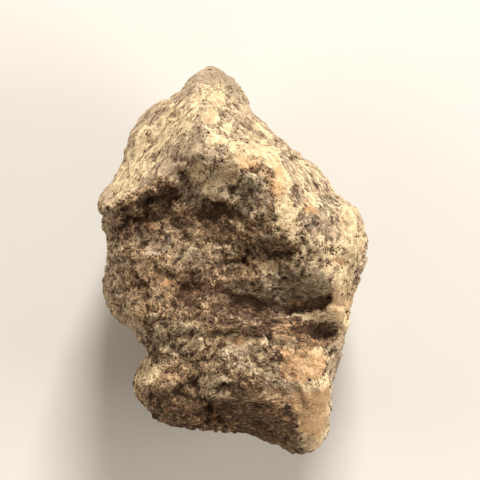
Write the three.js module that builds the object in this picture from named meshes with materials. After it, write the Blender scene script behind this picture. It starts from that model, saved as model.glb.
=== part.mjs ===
// A weathered chondrite stone, broken off on all sides, lying on its flattest side with its
// ridged and hollowed face up. It is one natural piece, so it is one mesh.
// Millimetres, +Z up. The origin is under the middle of the stone, on the surface it rests on.
import * as THREE from "three";
import { mergeVertices } from "three/addons/utils/BufferGeometryUtils.js";

// Driving dimensions
const THICKNESS = 19.4; // resting side to highest ridge
const RIM_HEIGHT = 8.8; // mean height of the widest section
const RIM_WANDER = 2.4; // how far the widest section rises and sinks round the stone
const RIM_WANDER_WIDTH = 8.0;
const SPHERE_DETAIL = 20; // 20 * (detail + 1) ^ 2 faces
const SAME_PLACE = 1e-5; // corners of the unit sphere closer than this are one
const CORE = new THREE.Vector3(0.6, 1.1, 9); // a point inside that sees the whole surface
const REACH = 1.9; // how far past the pillow shape the search for the surface goes
const SEARCH_STEPS = 18; // each step halves the search
const UPPER_SHARE = 0.2; // moves faces from the lower side to the upper one, which has more relief
const EVENING_ROUNDS = 8; // how often the corners are moved to the middle of their neighbours

// The outline seen from above, anticlockwise from the knob at the far end. It is 27.4 by 40.
const OUTLINE = [
  [-2.1, 20.0], [-4.0, 18.9], [-5.9, 16.9], [-8.4, 16.1], [-10.2, 13.8], [-11.1, 11.7],
  [-12.4, 8.2], [-13.7, 6.1], [-13.3, 4.4], [-12.9, 1.7], [-13.4, -0.9], [-13.7, -3.2],
  [-12.4, -5.7], [-10.3, -7.4], [-8.6, -9.0], [-8.9, -9.8], [-10.1, -12.0], [-10.0, -13.4],
  [-8.4, -15.3], [-6.8, -16.1], [-4.3, -17.0], [-0.4, -17.4], [2.2, -18.2], [5.3, -19.4],
  [6.6, -20.0], [8.2, -19.2], [9.3, -17.9], [9.9, -15.2], [10.0, -12.6], [10.8, -10.2],
  [11.4, -7.7], [12.2, -4.0], [13.2, -0.7], [13.7, 1.4], [13.2, 3.7], [12.2, 5.6],
  [10.5, 6.6], [9.9, 8.0], [8.6, 9.8], [5.3, 12.1], [1.9, 15.3], [1.4, 16.7], [-0.1, 19.0],
];
const OUTLINE_STEPS = 180;

// Broad faces. Each is a plane through a point, with its rise per millimetre along X and Y.
const UPPER_FACES = [
  { at: [-2.5, 12.0, 18.9], rise: [0.04, -0.46] }, // slope to the knob
  { at: [-7.5, 8.5, 18.4], rise: [0.35, -0.34] }, // slope to the upper left
  { at: [4.0, 8.0, 18.6], rise: [-0.6, -0.36] }, // long slope to the right
  { at: [-2.0, 4.0, 19.0], rise: [0.02, 0.06] }, // middle
  { at: [0.0, -12.0, 17.0], rise: [-0.04, 0.16] }, // lower block
  { at: [0.0, -15.4, 16.4], rise: [0.08, 0.95] }, // front drop
  { at: [-10.2, -1.0, 17.4], rise: [0.5, 0.05] }, // left drop
  { at: [9.6, -9.0, 16.2], rise: [-0.7, 0.1] }, // right drop
];
const LOWER_FACES = [
  { at: [0.0, 0.0, -0.35], rise: [0.0, 0.0] }, // resting side
  { at: [0.0, 8.5, 0.0], rise: [-0.12, 0.42] },
  { at: [5.0, 1.0, 0.0], rise: [0.48, 0.1] },
  { at: [-6.0, 1.0, 0.0], rise: [-0.52, 0.12] },
  { at: [1.0, -9.5, 0.0], rise: [0.1, -0.45] },
  { at: [-5.0, -7.0, 0.2], rise: [-0.4, -0.4] },
  { at: [4.0, 6.5, 0.3], rise: [0.42, 0.42] },
];
// Faces broken off the sides: a point and the direction the face looks in. They miss the rim.
const SIDE_FACES = [
  { at: [-1.0, 16.6, 4.0], out: [0.1, 0.8, -0.62] },
  { at: [-9.4, 12.0, 14.5], out: [-0.7, 0.42, 0.6] },
  { at: [-12.0, 1.0, 3.8], out: [-0.84, 0.1, -0.55] },
  { at: [-10.6, 8.0, 3.6], out: [-0.66, 0.45, -0.6] },
  { at: [-12.5, -1.5, 13.6], out: [-0.86, -0.2, 0.46] },
  { at: [-8.6, -12.6, 3.4], out: [-0.62, -0.42, -0.64] },
  { at: [1.0, -15.8, 3.6], out: [-0.12, -0.82, -0.56] },
  { at: [9.4, -14.6, 3.6], out: [0.66, -0.42, -0.62] },
  { at: [11.6, -3.0, 4.2], out: [0.88, -0.12, -0.46] },
  { at: [9.6, 6.2, 4.0], out: [0.6, 0.52, -0.6] },
  { at: [5.6, 11.4, 13.2], out: [0.52, 0.66, 0.54] },
  { at: [12.2, 3.0, 14.0], out: [0.84, 0.16, 0.52] },
  { at: [10.2, -13.0, 12.6], out: [0.88, -0.16, 0.44] },
];
const FACE_BLEND = 0.9; // how softly neighbouring broad faces meet
const EDGE_BLEND = 2.4; // how round the stone's edge is
const LEAN_UP = 0.22; // how far the sides lean in, per millimetre well above the rim
const LEAN_DOWN = 0.26; // and per millimetre well below it
const LEAN_START = 2.5; // the sides stand upright about this near the rim

// Ledges of the upper side, from the far end to the near end. Each path runs left to right along
// the crest: x, y, how wide the slope below the crest is, and how far it drops. With a steep
// above 1 the slope is steepest near its foot, with one below 1 near its crest. In front of the
// foot the ground lies level at first and then rises again over the ledge's reach.
const LEDGES = [
  {
    reach: 7.0, // the brow, over the long scoop
    steep: 0.85,
    path: [
      [-13.6, 5.0, 2.8, 0.5], [-12.0, 5.4, 3.2, 1.4], [-10.2, 5.8, 3.2, 1.9], [-8.6, 6.9, 2.8, 2.3],
      [-7.0, 7.6, 3.0, 2.4], [-6.1, 9.9, 5.4, 2.5], [-4.8, 11.0, 7.0, 2.6], [-2.4, 10.9, 7.4, 2.5],
      [0.0, 10.2, 7.0, 2.1], [1.2, 9.7, 7.0, 1.6], [2.0, 8.8, 6.8, 1.3], [2.8, 7.0, 5.4, 1.0],
      [3.7, 3.6, 2.4, 0.7], [6.0, 1.4, 1.4, 0.3],
    ],
  },
  {
    reach: 2.8, // the dark wedge
    steep: 1.4,
    path: [
      [-2.2, 3.0, 2.6, 0.2], [-0.2, 2.9, 2.6, 0.8], [2.1, 2.9, 2.7, 1.4], [4.9, 2.6, 2.4, 1.5],
      [7.4, 1.4, 1.4, 0.4],
    ],
  },
  {
    reach: 2.4, // the dark band below it
    steep: 1.5,
    path: [
      [-3.5, -1.4, 2.8, 0.2], [0.5, -1.1, 3.2, 1.0], [4.0, -0.9, 3.2, 1.6], [8.0, -1.0, 3.0, 1.7],
      [10.2, -1.5, 2.6, 0.5],
    ],
  },
  {
    reach: 1.8, // over the foot of the upper block
    steep: 1.2,
    path: [
      [-8.8, -7.2, 2.0, 0.7], [-5.0, -6.7, 2.0, 0.6], [-2.0, -6.0, 2.2, 0.9], [1.1, -5.8, 2.3, 1.1],
      [3.8, -6.4, 2.0, 0.6],
    ],
  },
  {
    reach: 3.2, // over the front
    steep: 1.0,
    path: [
      [-4.0, -14.0, 2.0, 0.3], [-1.4, -14.2, 2.0, 0.8], [2.4, -14.4, 2.0, 1.1], [6.4, -15.0, 2.0, 0.4],
    ],
  },
];
const LEDGE_FADE = 1.6; // over this length a ledge fades in and out at its two ends

// Dents in the upper side: middle, half widths, turn in degrees, depth. A bump has a depth below 0.
const UPPER_DENTS = [
  { at: [-7.6, 5.4], half: [2.6, 0.9], turn: 24, depth: 0.8 }, // pockets at the foot of the brow
  { at: [-1.3, 4.6], half: [2.6, 0.9], turn: -10, depth: 0.6 },
  { at: [-3.0, 10.4], half: [3.0, 1.2], turn: -4, depth: -0.5 }, // crest of the brow
  { at: [-10.8, 2.8], half: [1.4, 2.0], turn: -25, depth: 0.5 },
  { at: [8.4, -6.8], half: [2.4, 1.3], turn: -4, depth: 2.0 }, // thumb hollow
  { at: [-3.5, -3.0], half: [3.0, 1.7], turn: 15, depth: 0.5 },
  { at: [6.2, -4.1], half: [4.2, 1.2], turn: 0, depth: 0.8 }, // groove under the dark band
  { at: [2.6, 13.6], half: [2.0, 2.0], turn: 40, depth: 0.7 }, // waist under the knob
  { at: [-7.2, 14.4], half: [3.0, 1.3], turn: -40, depth: 0.5 },
  { at: [-2.5, -15.6], half: [1.5, 1.6], turn: 0, depth: 1.4 }, // chip at the front
  { at: [-7.0, -13.9], half: [2.4, 1.5], turn: -10, depth: 0.6 },
  { at: [10.6, 7.6], half: [1.5, 1.2], turn: 30, depth: 0.5 },
  { at: [-2.2, 17.6], half: [2.6, 2.2], turn: 0, depth: -0.8 }, // the knob
  { at: [11.7, 0.2], half: [1.8, 4.2], turn: 0, depth: -0.7 },
  { at: [1.0, -11.4], half: [4.6, 1.8], turn: -4, depth: -0.5 },
  { at: [7.2, -12.2], half: [2.4, 2.4], turn: 0, depth: -0.9 },
  { at: [-9.2, -0.5], half: [3.0, 2.0], turn: 0, depth: -0.4 },
];

// Dents in the sides and the lower side: middle, radius and depth
const SIDE_DENTS = [
  { at: [-13, 9, 10], radius: 4.0, depth: 0.5 },
  { at: [-12, -1, 5], radius: 4.5, depth: 0.9 },
  { at: [-9, 16, 9], radius: 3.0, depth: 0.5 },
  { at: [7, 13, 7], radius: 4.5, depth: 0.9 },
  { at: [13, -4, 7], radius: 4.5, depth: 0.6 },
  { at: [11, -14, 5], radius: 4.0, depth: 0.8 },
  { at: [2, -18, 6], radius: 4.0, depth: 0.8 },
  { at: [-8, -14, 4], radius: 3.5, depth: 0.7 },
  { at: [9, 5, 1], radius: 4.0, depth: 1.0 },
  { at: [-5, 13, 1], radius: 4.0, depth: 0.8 },
];
// Dents of the upper side come in as the surface turns up: the normal's rise where they start
// and where they are whole.
const FACING_UP = [0.2, 0.65];

// Lumps of all sizes: width and height of each layer. A creased layer has sharp ridges.
const LUMPS = [
  { width: 6.2, height: 0.3, creased: false },
  { width: 3.4, height: 0.3, creased: true },
  { width: 1.9, height: 0.2, creased: false },
];
// Chips: shallow scallops that meet in ridges, each tilted its own way
const CHIP_WIDTH = 4.4;
const CHIP_DEPTH = 1.5;
const HALF_CELL = 0.5;
const CHIP_STRAY = 0.45; // how far a chip's middle stands from the middle of its cell, in cells
const CHIP_TILT = 0.45; // how much of its depth a chip rises across its cell
const CHIP_BLEND = 0.08; // how softly two chips meet, as a share of their depth
const CHIP_TILT_STEPS = 9; // a chip's tilt is read this many cells away from its place
const CHIP_MEAN = 0.19; // what the chips come to on the whole, as a share of their depth
const RIM_CALM = 0.25; // share of the lumps that the rim keeps, so that the outline stays true
const RIM_CALM_HEIGHT = 3.5; // height above and below the rim where the lumps have come back
const OVERHANG = 0.1; // how far the lumps may stand out past the outline

// Places in the noise, picked by eye, that the rim's wander and the lumps are read from
const RIM_NOISE = new THREE.Vector3(3.1, 8.2, 0.5);
const LUMP_NOISE = new THREE.Vector3(11.3, 5.1, 7.7);
const SCRAMBLE = new THREE.Vector3(127.1, 311.7, 74.7); // numbers that mix a corner's place
const SCRAMBLE_SCALE = 43758.5453;

const { clamp, degToRad, lerp, smoothstep } = THREE.MathUtils;

// A random number from -1 to 1 that belongs to one corner of a unit grid.
function cornerValue(i, j, k) {
  const n = Math.sin(i * SCRAMBLE.x + j * SCRAMBLE.y + k * SCRAMBLE.z) * SCRAMBLE_SCALE;
  return 2 * (n - Math.floor(n)) - 1;
}

// Three random numbers from -1 to 1 that belong to one corner of a unit grid, or to the corner a
// few steps away.
function cornerVector(i, j, k, steps = 0) {
  const [a, b, c] = [i + steps, j + steps, k + steps];
  return new THREE.Vector3(cornerValue(a, b, c), cornerValue(b, c, a), cornerValue(c, a, b));
}

const ease = (t) => t * t * (3 - 2 * t);

// The corner values blended smoothly between the corners.
function noise(x, y, z) {
  const [i, j, k] = [Math.floor(x), Math.floor(y), Math.floor(z)];
  const [u, v, w] = [ease(x - i), ease(y - j), ease(z - k)];
  const row = (b, c) => lerp(cornerValue(i, j + b, k + c), cornerValue(i + 1, j + b, k + c), u);
  const layer = (c) => lerp(row(0, c), row(1, c), v);
  return lerp(layer(0), layer(1), w);
}

// Folds a noise value so that it comes to a sharp ridge.
const crease = (value) => 0.5 - 2 * Math.abs(value);

// How far the chips lift or sink a point: it lies in the chip that is deepest there. Each chip
// is bowl-shaped round a middle that stands somewhere in its cell.
function chipHeight(p) {
  const q = p.clone().divideScalar(CHIP_WIDTH);
  const cell = q.clone().floor();
  let deepest = -Infinity;
  for (let n = 0; n < 27; n++) {
    const step = new THREE.Vector3((n % 3) - 1, (Math.floor(n / 3) % 3) - 1, Math.floor(n / 9) - 1);
    const home = cell.clone().add(step);
    const stray = cornerVector(home.x, home.y, home.z).multiplyScalar(CHIP_STRAY);
    const away = q.clone().sub(stray.add(home).addScalar(HALF_CELL));
    const tilt = cornerVector(home.x, home.y, home.z, CHIP_TILT_STEPS).multiplyScalar(CHIP_TILT);
    deepest = softMax(deepest, -away.lengthSq() - tilt.dot(away), CHIP_BLEND);
  }
  return CHIP_DEPTH * (-deepest - CHIP_MEAN);
}

// The larger of two numbers, rounded off where they are nearly alike.
function softMax(a, b, width) {
  if (a === -Infinity) return b;
  const near = Math.max(width - Math.abs(a - b), 0) / width;
  return Math.max(a, b) + (near * near * width) / 4;
}

// The height of a broad face at one place.
function heightOf({ at, rise }, x, y) {
  return at[2] + rise[0] * (x - at[0]) + rise[1] * (y - at[1]);
}

// How far a point stands in front of a side face.
function beyondFace({ at, out }, p) {
  return new THREE.Vector3(...out).dot(p.clone().sub(new THREE.Vector3(...at)));
}

// The outline as evenly spaced points, closed.
function outlinePoints() {
  const corners = OUTLINE.map(([x, y]) => new THREE.Vector3(x, y, 0));
  const curve = new THREE.CatmullRomCurve3(corners, true, "centripetal");
  return curve.getSpacedPoints(OUTLINE_STEPS);
}

// How far a point is outside the outline, below 0 when it is inside.
function outsideOutline(points, x, y) {
  let nearest = Infinity;
  let inside = false;
  for (let i = 0; i < OUTLINE_STEPS; i++) {
    const [a, b] = [points[i], points[i + 1]];
    const [ex, ey] = [b.x - a.x, b.y - a.y];
    const along = clamp(((x - a.x) * ex + (y - a.y) * ey) / (ex * ex + ey * ey), 0, 1);
    nearest = Math.min(nearest, Math.hypot(x - a.x - along * ex, y - a.y - along * ey));
    if (a.y > y !== b.y > y && x < a.x + ((y - a.y) / ey) * ex) inside = !inside;
  }
  return inside ? -nearest : nearest;
}

// How far a height is above the rim at one place.
function aboveRim(p) {
  const [x, y] = [p.x / RIM_WANDER_WIDTH, p.y / RIM_WANDER_WIDTH];
  const wander = noise(x + RIM_NOISE.x, y + RIM_NOISE.y, RIM_NOISE.z);
  return p.z - RIM_HEIGHT - RIM_WANDER * wander;
}

// Above 0 outside the plain stone, below 0 inside it.
function outsideStone(points, p) {
  const height = aboveRim(p);
  const lean = (height > 0 ? LEAN_UP : LEAN_DOWN) * (Math.hypot(height, LEAN_START) - LEAN_START);
  const blend = (list) => list.reduce((a, b) => softMax(a, b, FACE_BLEND));
  const above = blend(UPPER_FACES.map((face) => p.z - heightOf(face, p.x, p.y)));
  const below = blend(LOWER_FACES.map((face) => heightOf(face, p.x, p.y) - p.z));
  const beyond = blend(SIDE_FACES.map((face) => beyondFace(face, p)));
  const side = softMax(outsideOutline(points, p.x, p.y) + lean, beyond, FACE_BLEND);
  return softMax(softMax(side, above, EDGE_BLEND), below, EDGE_BLEND);
}

// A sphere's point carried to a pillow with the stone's outline: the way to look for the surface.
function towardsSurface(points, unit) {
  const turn = Math.atan2(-unit.x, unit.y) / (2 * Math.PI);
  const place = (turn < 0 ? turn + 1 : turn) * OUTLINE_STEPS;
  const i = Math.floor(place) % OUTLINE_STEPS;
  const rim = points[i].clone().lerp(points[i + 1], place - Math.floor(place));
  const flat = Math.hypot(unit.x, unit.y);
  const lift = unit.z - UPPER_SHARE * flat * flat;
  return new THREE.Vector3(flat * (rim.x - CORE.x), flat * (rim.y - CORE.y), (lift * THICKNESS) / 2);
}

// Where the way from the core leaves the plain stone.
function surfacePoint(points, way) {
  let [inner, outer] = [0, REACH];
  for (let step = 0; step < SEARCH_STEPS; step++) {
    const middle = (inner + outer) / 2;
    const p = CORE.clone().addScaledVector(way, middle);
    if (outsideStone(points, p) > 0) outer = middle;
    else inner = middle;
  }
  return CORE.clone().addScaledVector(way, inner);
}

function upperDentDepth(dent, p) {
  const turn = degToRad(dent.turn);
  const [dx, dy] = [p.x - dent.at[0], p.y - dent.at[1]];
  const along = (dx * Math.cos(turn) + dy * Math.sin(turn)) / dent.half[0];
  const across = (dy * Math.cos(turn) - dx * Math.sin(turn)) / dent.half[1];
  return dent.depth * Math.exp(-(along * along + across * across));
}

function sideDentDepth(dent, p) {
  const away = p.distanceTo(new THREE.Vector3(...dent.at)) / dent.radius;
  return dent.depth * Math.exp(-away * away);
}

// The crest's place, slope width and drop at one x, between the path's points.
function alongLedge(path, x) {
  const next = Math.max(1, path.findIndex((point) => point[0] >= x));
  const [a, b] = [path[next - 1], path[next]];
  const share = ease((x - a[0]) / (b[0] - a[0]));
  return [1, 2, 3].map((k) => lerp(a[k], b[k], share));
}

function ledgeDepth({ path, reach, steep }, p) {
  const [left, right] = [path[0][0], path.at(-1)[0]];
  if (p.x <= left || p.x >= right) return 0;
  const [crest, width, drop] = alongLedge(path, p.x);
  const fade = smoothstep(Math.min(p.x - left, right - p.x), 0, LEDGE_FADE);
  const down = clamp((crest - p.y) / width, 0, 1);
  const risen = Math.exp(-((Math.max(crest - width - p.y, 0) / reach) ** 2));
  return fade * drop * ease(down ** steep) * risen;
}

function lumpHeight({ width, height, creased }, p) {
  const q = p.clone().divideScalar(width).add(LUMP_NOISE);
  const value = noise(q.x, q.y, q.z);
  return height * (creased ? crease(value) : value);
}

// Pushes one point of the plain stone in for its dents and ledges, and in or out for its lumps.
function carve(points, p, normal) {
  const total = (list, measure) => list.reduce((sum, item) => sum + measure(item, p), 0);
  const facingUp = smoothstep(normal.z, ...FACING_UP);
  const down = facingUp * (total(UPPER_DENTS, upperDentDepth) + total(LEDGES, ledgeDepth));
  const out = total(LUMPS, lumpHeight) + chipHeight(p) - total(SIDE_DENTS, sideDentDepth);
  const calm = lerp(RIM_CALM, 1, smoothstep(Math.abs(aboveRim(p)), 0, RIM_CALM_HEIGHT));
  const push = normal.clone().multiplyScalar(out * calm);
  const past = outsideOutline(points, p.x + push.x, p.y + push.y) - OVERHANG;
  const kept = past > 0 ? Math.max(1 - past / Math.hypot(push.x, push.y), 0) : 1;
  return new THREE.Vector3(p.x + kept * push.x, p.y + kept * push.y, p.z + push.z - down);
}

// Moves each corner to the middle of its neighbours and back to the surface, so that the faces
// come out alike in size.
function evenOut(places, faces, points) {
  const sums = places.map(() => ({ total: new THREE.Vector3(), count: 0 }));
  for (let i = 0; i < faces.length; i += 3) {
    for (let k = 0; k < 3; k++) {
      const sum = sums[faces[i + k]];
      sum.total.add(places[faces[i + ((k + 1) % 3)]]);
      sum.count += 1;
    }
  }
  return sums.map(({ total, count }) => surfacePoint(points, total.divideScalar(count).sub(CORE)));
}

// A sphere whose corners are shared between its faces.
function closedSphere() {
  const sphere = new THREE.IcosahedronGeometry(1, SPHERE_DETAIL);
  sphere.deleteAttribute("normal");
  sphere.deleteAttribute("uv");
  return mergeVertices(sphere, SAME_PLACE);
}

function stoneGeometry() {
  const points = outlinePoints();
  const stone = closedSphere();
  const place = stone.getAttribute("position");
  const vectorAt = (attribute, i) => new THREE.Vector3().fromBufferAttribute(attribute, i);
  let places = Array.from({ length: place.count }, (_, i) => {
    return surfacePoint(points, towardsSurface(points, vectorAt(place, i)));
  });
  for (let round = 0; round < EVENING_ROUNDS; round++) {
    places = evenOut(places, stone.index.array, points);
  }
  place.copyArray(places.flatMap((p) => p.toArray()));
  stone.computeVertexNormals();
  const normals = stone.getAttribute("normal");
  places.forEach((p, i) => {
    const carved = carve(points, p, vectorAt(normals, i));
    place.setXYZ(i, carved.x, carved.y, Math.max(carved.z, 0));
  });
  stone.computeBoundingBox();
  const middle = stone.boundingBox.getCenter(new THREE.Vector3());
  stone.translate(-middle.x, -middle.y, -stone.boundingBox.min.z);
  stone.computeVertexNormals();
  return stone;
}

const chondrite = new THREE.MeshStandardMaterial({ color: 0x8a7a62, roughness: 0.9, metalness: 0 });
const stone = new THREE.Mesh(stoneGeometry(), chondrite);
stone.name = "stone";

const meteorite = new THREE.Group();
meteorite.add(stone);

export default meteorite;
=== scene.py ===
# A small weathered chondrite, broken on all sides, lying on a pale floor and seen from above.
# Places and lengths are millimetres in the part's frame. The floor, the lights and what Blender
# gets are in metres.
import math
from collections import namedtuple

import bpy
import numpy as np
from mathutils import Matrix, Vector


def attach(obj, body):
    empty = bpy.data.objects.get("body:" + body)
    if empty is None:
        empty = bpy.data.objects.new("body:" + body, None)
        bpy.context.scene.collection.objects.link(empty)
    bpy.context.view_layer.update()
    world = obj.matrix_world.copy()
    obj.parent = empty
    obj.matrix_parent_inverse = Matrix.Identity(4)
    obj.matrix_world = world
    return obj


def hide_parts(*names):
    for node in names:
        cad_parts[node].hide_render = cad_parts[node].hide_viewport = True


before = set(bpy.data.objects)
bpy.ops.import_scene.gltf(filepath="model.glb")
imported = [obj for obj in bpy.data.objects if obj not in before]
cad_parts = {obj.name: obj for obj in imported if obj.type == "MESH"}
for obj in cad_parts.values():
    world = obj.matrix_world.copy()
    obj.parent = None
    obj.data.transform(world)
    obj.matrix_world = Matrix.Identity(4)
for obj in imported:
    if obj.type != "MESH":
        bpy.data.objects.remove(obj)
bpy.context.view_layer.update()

MM = 0.001
NODE = "stone"

# The camera looks straight down. Marks are placed as it sees them on the plane of the rim.
CAMERA_PLACE = np.array([0.61, 2.12, 208.6])
RIM_PLANE = 8.6
VIEW_HEIGHT = 49.34
SENSOR = 36.0

# How fast marks seen from above fade where the surface turns away, as heights of its normal.
SIDE_STARTS = 0.22
SIDE_FULL = -0.12

# The solid's triangles are split in four for each of these, and rounded by that share.
ROUNDING = (0.75, 1.0)
WELD_DIGITS = 4  # digits of a millimetre to which two points agree when they are one

# How many rounds of blurring along the edges give the way the stone faces, the way relief pushes
# it, and the way its ridges stand out.
FACING_ROUNDS = 12
PUSH_ROUNDS = 2
RIDGE_ROUNDS = 4

# Forms of the relief: their width, how far they push the surface or a border, and a seed.
Form = namedtuple("Form", "size depth seed")
BEND_WIDE = Form(1.7, 0.45, 1)
BEND_NARROW = Form(0.6, 0.14, 4)
STRAY_WIDE = Form(1.5, 0.4, 40)
STRAY_NARROW = Form(0.45, 0.16, 50)
FACETS = Form(1.9, 0.25, 100)
FLAKES = Form(0.95, 0.135, 120)
HOLES = Form(1.3, 0.2, 140)
GRAINS = Form(0.62, 0.075, 160)
CRUMBS = Form(0.36, 0.05, 180)
SWELL = Form(0.8, 0.04, 190)

# What a form's seed goes up by for each random number that a cell of it has.
TILT_SEED = 5
PICK_SEED = 7
RADIUS_SEED = 8
LIFT_SEED = 9

# Chips are tilted by up to this, with seams between them: a share of their size, and a depth.
CHIP_TILT = 1.2
FACET_SEAM = (0.16, 0.07)
FLAKE_SEAM = (0.2, 0.05)

# Holes and grains: which share of the cells has one, and the smallest and the largest radius.
HOLE_SHARE = 0.16
GRAIN_SHARE = 0.75
DOME_RADIUS = (0.3, 0.5)

REST_HEIGHT = 0.7  # the relief fades out over this height above the floor
CRACK_REACH = 0.25  # a crack's half width
PIT_WALL = (-0.1, 0.35)  # how deep inside its outline a pit starts, and is at full depth
LIP_EDGE = 0.15  # half the width of a lip's step
LIP_REACH = 0.9  # how far from a lip its lift fades
FILLING = 0.42  # share of the relief that the pale deposit fills in
FILLING_RANGE = (-0.4, 0.8)  # how strong the deposit is where that starts, and where it is full
DRAWING = 0.5  # share of the relief that is gone where the grain is drawn out

# How grains and how ridges stand out: rounds of blurring, and how far out of its own blur the
# surface has to be to count in full.
RAISED = (10, 0.12)
RIDGE = (120, 0.55)

NOISE_GAIN = 1.6
NOISE_NODE_SPREAD = 0.25  # how far the noise of a node strays from its mean
FAR = 1e9
TINY = 1e-9

# Large odd numbers that mix the bits of a cell's numbers and of a seed.
AXIS_MIXERS = (
    np.uint64(0x9E3779B97F4A7C15),
    np.uint64(0xC2B2AE3D27D4EB4F),
    np.uint64(0x165667B19E3779F9),
)
SEED_MIXER = np.uint64(0x27D4EB2F165667C5)
LAST_MIXER = np.uint64(0xBF58476D1CE4E5B9)

# The border of a mark is this wide to each side, and strays besides. A spot is this strong.
BORDER = 0.25
SPOT_STRENGTH = 0.85

# Sizes in the speckle, and how softly it goes from a finish's ground to its dark and light grains.
SPECK_SIZE = 0.27
CLOT_SIZE = 0.6
DUST_SIZE = 0.2
BLOTCH_SIZE = 0.8
BROAD_SIZE = 2.6
SPECKLE_RAMP = 0.42

# Looks, with colours as they are on a screen: a finish's ground in two tones, which may be alike,
# its dark and light grains, and the speckle under which a grain is dark and over which it is light.
Look = namedtuple("Look", "ground other dark light dark_end light_start")
LOOKS = {
    "own": Look((142, 114, 83), (126, 106, 80), (50, 34, 22), (194, 165, 128), 0.0, 0.03),
    "tan": Look((160, 138, 115), (152, 134, 106), (106, 83, 62), (200, 178, 145), -0.02, 0.0),
    "dark": Look((90, 67, 46), (90, 67, 46), (34, 22, 12), (172, 144, 112), 0.0, 0.03),
    "grey": Look((118, 105, 84), (118, 105, 84), (54, 45, 33), (172, 156, 130), 0.0, 0.04),
    "pale": Look((187, 161, 126), (202, 181, 142), (134, 106, 76), (222, 204, 164), -0.1, 0.0),
}
RUST_TONES = ((196, 148, 98), (166, 114, 72))
FLOOR_TONES = ((226, 224, 220), (221, 219, 215))

# Painted shade, with some dirt, among the grains, between the ridges, and in the cracks and pits.
GRAIN_SHADE_AND_DIRT = (54, 31, 17)
RIDGE_SHADE_AND_DIRT = (60, 36, 20)
CRACK_SHADE_AND_DIRT = (38, 20, 10)

BUMP_STRENGTH = 0.9
BUMP_DEPTH = 0.12

FLOOR_HALF = 1.5  # metres
FLOOR_MOTTLE = 60.0

# Zones of one finish, as outlines seen from above. The number is how unbroken the finish is: 1
# covers all, 0 about half, and less leaves only scattered spots. A spot is a place, two half widths
# and a turn in degrees.
LEFT_SHELF = [(-8.4, -6.2), (-4.2, -6.4), (-3.2, -8.0), (-3.6, -9.8), (-6.6, -9.8), (-8.6, -8.8)]
TAN_ZONES = [
    # the upper slope and the knob
    (0.6, [(-2.1, 20.8), (-8.6, 17.1), (-12.3, 13.4), (-14.6, 6.6), (-13.4, 5.4), (-11.5, 6.2),
           (-9.7, 7.4), (-8.0, 8.6), (-5.4, 8.8), (-2.9, 7.8), (-0.6, 7.5), (0.0, 9.1), (1.2, 9.5),
           (2.9, 10.3), (4.1, 9.5), (4.7, 14.5), (1.6, 19.0)]),
    # the right side, down to the front corner
    (0.6, [(1.6, 17.5), (3.3, 10.6), (4.3, 8.3), (4.2, 4.0), (6.8, 1.1), (6.6, -0.7), (8.2, -1.8),
           (10.3, -4.0), (9.9, -5.9), (10.9, -7.7), (9.0, -9.2), (5.8, -8.9), (4.7, -9.2),
           (4.6, -12.8), (6.4, -14.3), (6.5, -19.1), (7.8, -20.9), (11.7, -17.4), (15.0, -4.0),
           (15.0, 4.7), (11.4, 10.3)]),
    # the left rim
    (0.7, [(-14.0, 5.4), (-12.5, 4.8), (-11.7, 1.9), (-10.7, -0.1), (-11.3, -4.0), (-9.1, -6.7),
           (-8.6, -8.7), (-11.7, -7.1), (-14.0, -4.0), (-14.4, 1.1)]),
    # the slope over the brow, lightened as painted light where its form turns from the lamp
    (0.7, [(-6.2, 10.0), (-1.2, 10.3), (0.0, 9.3), (-0.4, 6.6), (-2.4, 5.6), (-4.8, 5.4),
           (-5.8, 7.6)]),
    # the right end of the scoop
    (-0.2, [(-3.0, 2.2), (1.8, 1.6), (2.0, 0.4), (-2.4, 0.2)]),
    # the lower block, left end
    (0.3, [(-4.6, -11.8), (-0.8, -11.6), (-0.4, -14.6), (-3.4, -14.2)]),
    # the shelf on the left, lightened as painted light where its form is in shade
    (0.9, LEFT_SHELF),
    # the lower block, tan stone partly lightened as painted light where its form is in shade
    (0.9, [(-1.0, -8.8), (2.9, -8.6), (3.6, -10.4), (5.8, -10.6), (6.0, -13.2), (3.6, -13.0),
           (1.5, -11.4), (-1.0, -10.6)]),
    # round the grey patch of the brow, lightened as painted light where the brow is in shade
    (0.7, [(-0.4, 7.2), (0.3, 8.6), (1.6, 9.1), (3.0, 8.6), (4.0, 7.0), (3.0, 4.2), (0.8, 4.5),
           (-0.2, 5.6)]),
    # the upper block's top edge, lightened as painted light in the shadow under the wedge
    (0.7, [(2.6, 0.0), (4.2, 0.4), (5.8, 0.3), (5.8, -1.6), (2.8, -1.6)]),
    # the upper slope, left half
    (0.9, [(-9.7, 15.3), (-6.4, 16.9), (-3.9, 15.7), (-3.9, 12.4), (-7.6, 11.4), (-10.5, 11.4)]),
]
TAN_SPOTS = [
    (-7.9, 1.2, 1.3, 0.7, 20), (-4.2, 0.2, 1.5, 0.9, -20), (-11.6, -1.4, 0.7, 1.6, 0),
    (-8.0, -6.2, 0.9, 0.5, -20), (-9.2, 2.6, 1.2, 0.8, 0), (7.8, -5.6, 1.7, 0.5, 5),
    (3.0, 2.4, 1.5, 0.35, 0),
]
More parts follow.
